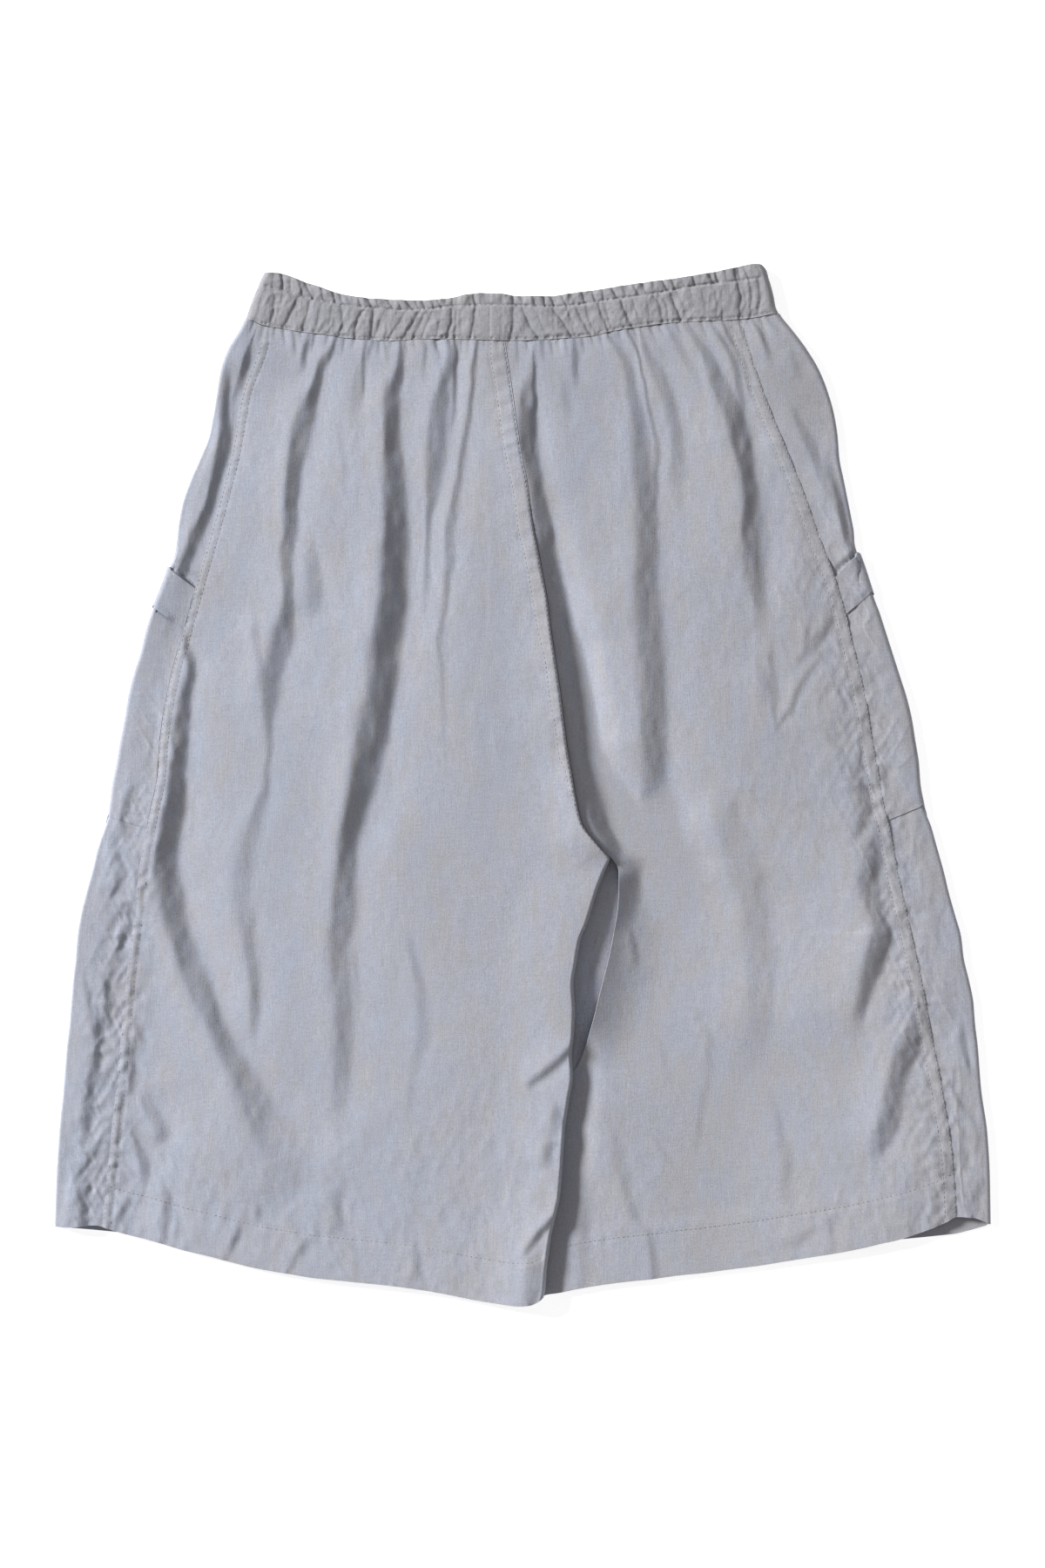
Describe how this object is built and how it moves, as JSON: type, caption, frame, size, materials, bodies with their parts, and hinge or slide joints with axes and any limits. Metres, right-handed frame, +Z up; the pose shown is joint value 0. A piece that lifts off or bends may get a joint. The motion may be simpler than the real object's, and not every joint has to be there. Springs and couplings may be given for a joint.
{
  "type": "linen shorts",
  "caption": "Wide linen shorts laid flat, back up: gathered waistband, wrap-round side panels with banded patch pockets, and turned-up hems.",
  "frame": {"origin": "under the middle of the outline, on the surface that the shorts lie on", "axes": "+Y towards the waist, +Z up from the surface, X across; the wearer's left leg is on the -X side because the back faces up"},
  "size_m": [0.607, 0.672, 0.0128],
  "materials": {
    "linen_panels": "plain-weave linen, matt, blue-grey with paler slubs",
    "linen_pockets": "plain-weave linen, matt, blue-grey with paler slubs",
    "linen_waistband": "plain-weave linen, matt, gathered over elastic"
  },
  "bodies": {
    "root": {"back_left": "linen_panels", "back_right": "linen_panels", "front_left": "linen_panels", "front_right": "linen_panels", "side_left": "linen_panels", "side_right": "linen_panels", "pocket_left": "linen_pockets", "pocket_right": "linen_pockets", "pocket_band_left": "linen_pockets", "pocket_band_right": "linen_pockets", "waistband": "linen_waistband"}
  },
  "joints": []
}
